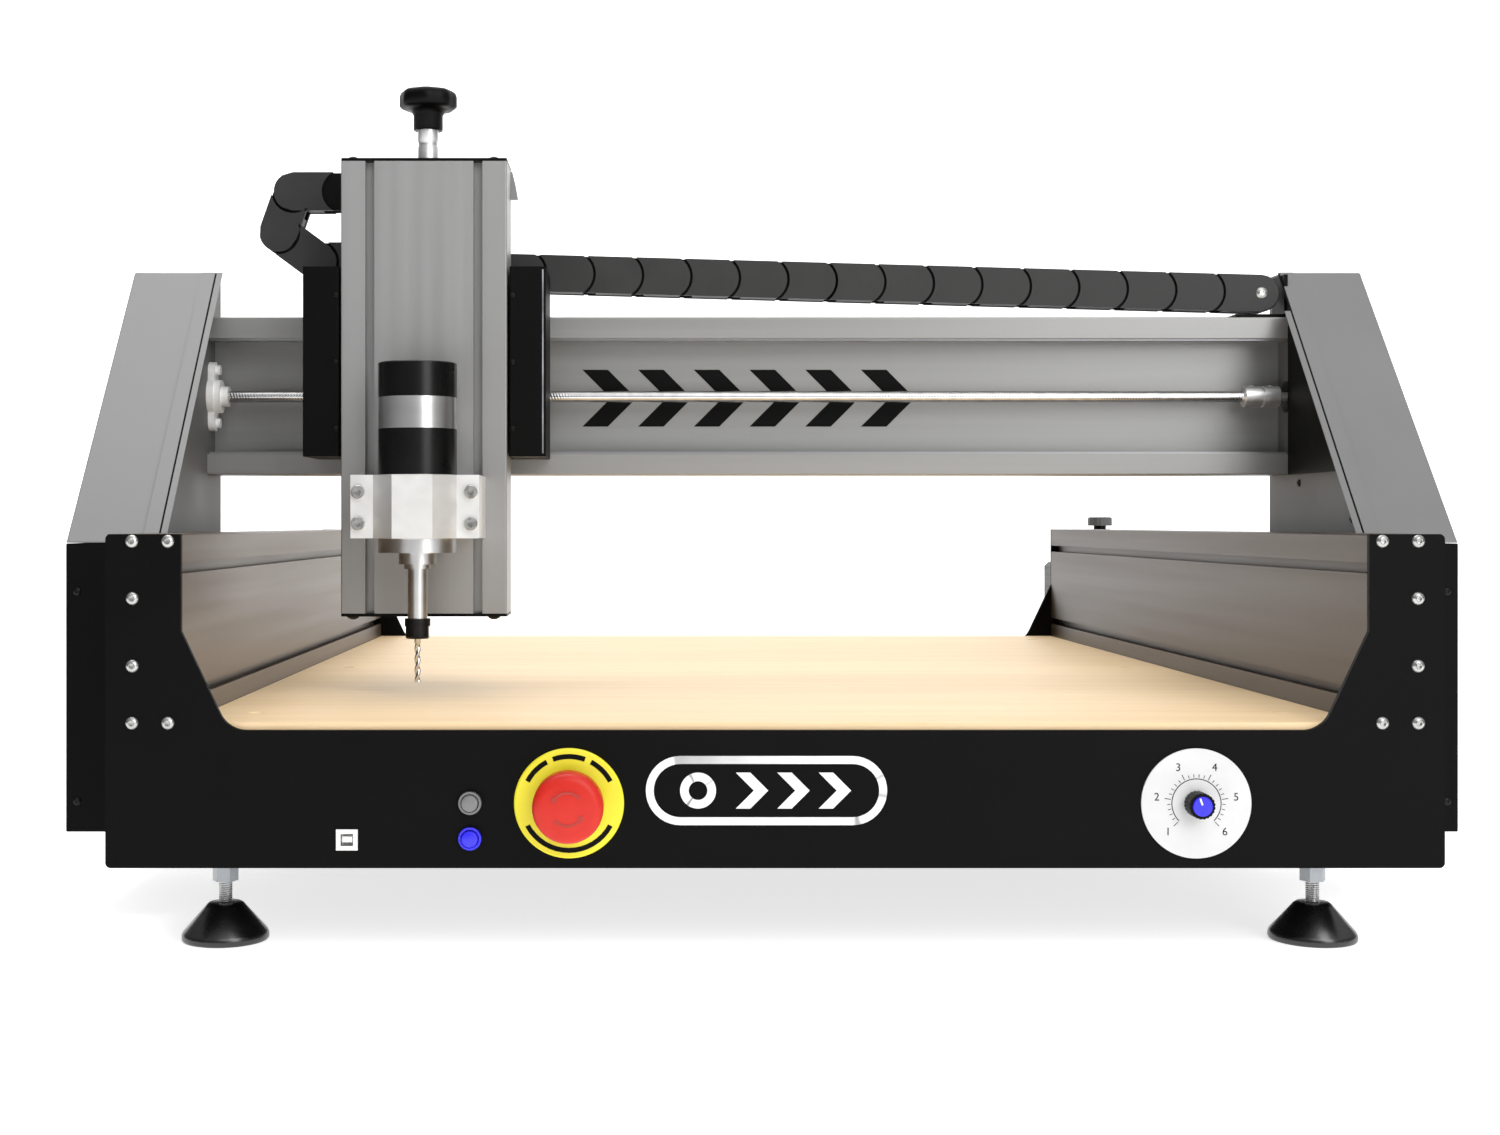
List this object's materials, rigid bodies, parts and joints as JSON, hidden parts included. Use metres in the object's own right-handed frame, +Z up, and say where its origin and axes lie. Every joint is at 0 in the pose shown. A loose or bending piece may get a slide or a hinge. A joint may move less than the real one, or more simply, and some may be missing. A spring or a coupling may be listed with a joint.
{
  "type": "cnc router",
  "caption": "Benchtop CNC router with a moving gantry on two aluminium side walls, a vertical axis with a spindle and a wooden bed.",
  "frame": {"origin": "centre of the overall box at floor level, under the feet", "axes": "+X to the machine's right seen from the front, +Y to its rear along the bed, +Z up"},
  "size_m": [0.856, 0.902, 0.532],
  "materials": {
    "powder_black": "fine-textured black powder coat",
    "powder_grey": "satin light grey powder coat",
    "anodised": "matt natural anodised extrusion",
    "machined_alu": "bright machined aluminium",
    "steel": "ground and polished steel",
    "black_steel": "blackened steel",
    "birch": "pale sealed hardwood board",
    "galvanised": "zinc-plated sheet",
    "circuit_board": "green solder mask",
    "rubber": "moulded black rubber",
    "black_abs": "moulded black ABS",
    "glide_polymer": "turned polymer",
    "chain_nylon": "dark grey moulded nylon",
    "estop_red": "glossy red moulding",
    "signal_yellow": "printed yellow disc",
    "dial_white": "white printed disc",
    "button_grey": "grey moulding",
    "button_blue": "blue moulding",
    "brass": "turned brass"
  },
  "bodies": {
    "base": {"front_panel": "powder_black", "rear_panel": "powder_black", "wall_left": "anodised", "wall_right": "anodised", "wall_strips": "steel", "bed_board": "birch", "bed_supports": "machined_alu", "base_tray": "powder_black", "controller_board": "circuit_board", "power_supply": "galvanised", "y_motors": "black_steel", "y_bearings": "machined_alu", "panel_screws": "steel", "estop_plate": "signal_yellow", "dial_plate": "dial_white", "switch_bodies": "black_abs", "usb_port": "steel", "rear_fittings": "black_abs", "foot_nuts": "steel"},
    "foot_front_left": {"foot_front_left": "rubber"},
    "foot_front_right": {"foot_front_right": "rubber"},
    "foot_rear_left": {"foot_rear_left": "rubber"},
    "foot_rear_right": {"foot_rear_right": "rubber"},
    "gantry": {"upright_cover_left": "powder_grey", "upright_cover_right": "powder_grey", "upright_plates": "powder_grey", "lower_covers": "powder_black", "x_beam": "anodised", "beam_strips": "steel", "x_bearing": "machined_alu", "x_motor": "black_steel", "y_nuts": "brass", "y_guide_shoes": "glide_polymer", "gantry_screws": "black_steel", "chain_brackets": "powder_black", "x_chain": "chain_nylon"},
    "x_carriage": {"carriage_housing": "powder_black", "carriage_plate": "machined_alu", "carriage_shoes": "glide_polymer", "lead_nuts": "brass", "z_chain": "chain_nylon"},
    "z_axis": {"z_profile": "anodised", "z_end_caps": "black_abs", "z_motor": "black_steel", "spindle_clamp": "machined_alu", "clamp_screws": "steel", "spindle_housing": "steel", "spindle_casing": "black_abs"},
    "spindle": {"spindle_shaft": "steel", "collet_nut": "black_steel", "cutter": "steel"},
    "x_screw": {"x_screw": "steel"},
    "y_screw_left": {"y_screw_left": "steel"},
    "y_screw_right": {"y_screw_right": "steel"},
    "z_screw": {"z_screw": "steel", "z_knob": "black_abs"},
    "estop": {"estop_button": "estop_red"},
    "grey_button": {"grey_button": "button_grey"},
    "blue_button": {"blue_button": "button_blue"},
    "speed_knob": {"speed_knob": "black_abs"}
  },
  "joints": [
    {"name": "gantry_slide", "type": "slide", "parent": "base", "child": "gantry", "axis": [0, 1, 0], "range_m": [-0.095, 0.5]},
    {"name": "carriage_slide", "type": "slide", "parent": "gantry", "child": "x_carriage", "axis": [1, 0, 0], "range_m": [-0.055, 0.489], "deforming": ["x_chain"]},
    {"name": "z_slide", "type": "slide", "parent": "x_carriage", "child": "z_axis", "axis": [0, 0, 1], "range_m": [-0.009, 0.085], "deforming": ["z_chain"]},
    {"name": "spindle_spin", "type": "hinge", "parent": "z_axis", "child": "spindle", "pos_m": [-0.217, -0.267, 0.236], "axis": [0, 0, 1], "continuous": true},
    {"name": "x_screw_turn", "type": "hinge", "parent": "gantry", "child": "x_screw", "pos_m": [0, -0.159, 0.33], "axis": [1, 0, 0], "range_deg": [-2506, 22036]},
    {"name": "y_screw_left_turn", "type": "hinge", "parent": "base", "child": "y_screw_left", "pos_m": [-0.357, 0, 0.1815], "axis": [0, 1, 0], "range_deg": [-4306, 22531]},
    {"name": "y_screw_right_turn", "type": "hinge", "parent": "base", "child": "y_screw_right", "pos_m": [0.357, 0, 0.1815], "axis": [0, 1, 0], "range_deg": [-4306, 22531]},
    {"name": "z_screw_turn", "type": "hinge", "parent": "z_axis", "child": "z_screw", "pos_m": [-0.217, -0.206, 0.476], "axis": [0, 0, 1], "range_deg": [-436, 3856]},
    {"name": "estop_press", "type": "slide", "parent": "base", "child": "estop", "axis": [0, 1, 0], "range_m": [0, 0.005]},
    {"name": "grey_press", "type": "slide", "parent": "base", "child": "grey_button", "axis": [0, 1, 0], "range_m": [0, 0.0015], "stiffness_N_per_m": 800},
    {"name": "blue_press", "type": "slide", "parent": "base", "child": "blue_button", "axis": [0, 1, 0], "range_m": [0, 0.0015], "stiffness_N_per_m": 800},
    {"name": "speed_turn", "type": "hinge", "parent": "base", "child": "speed_knob", "pos_m": [0.2336, -0.425, 0.0866], "axis": [0, -1, 0], "range_deg": [-150, 150]},
    {"name": "foot_front_left_level", "type": "slide", "parent": "base", "child": "foot_front_left", "axis": [0, 0, 1], "range_m": [-0.008, 0.012]},
    {"name": "foot_front_right_level", "type": "slide", "parent": "base", "child": "foot_front_right", "axis": [0, 0, 1], "range_m": [-0.008, 0.012]},
    {"name": "foot_rear_left_level", "type": "slide", "parent": "base", "child": "foot_rear_left", "axis": [0, 0, 1], "range_m": [-0.008, 0.012]},
    {"name": "foot_rear_right_level", "type": "slide", "parent": "base", "child": "foot_rear_right", "axis": [0, 0, 1], "range_m": [-0.008, 0.012]}
  ],
  "couplings": [
    {"joint": "x_screw_turn", "follows": "carriage_slide", "rad_per_m": 785.4},
    {"joint": "y_screw_left_turn", "follows": "gantry_slide", "rad_per_m": 785.4},
    {"joint": "y_screw_right_turn", "follows": "gantry_slide", "rad_per_m": 785.4},
    {"joint": "z_screw_turn", "follows": "z_slide", "rad_per_m": 785.4}
  ]
}
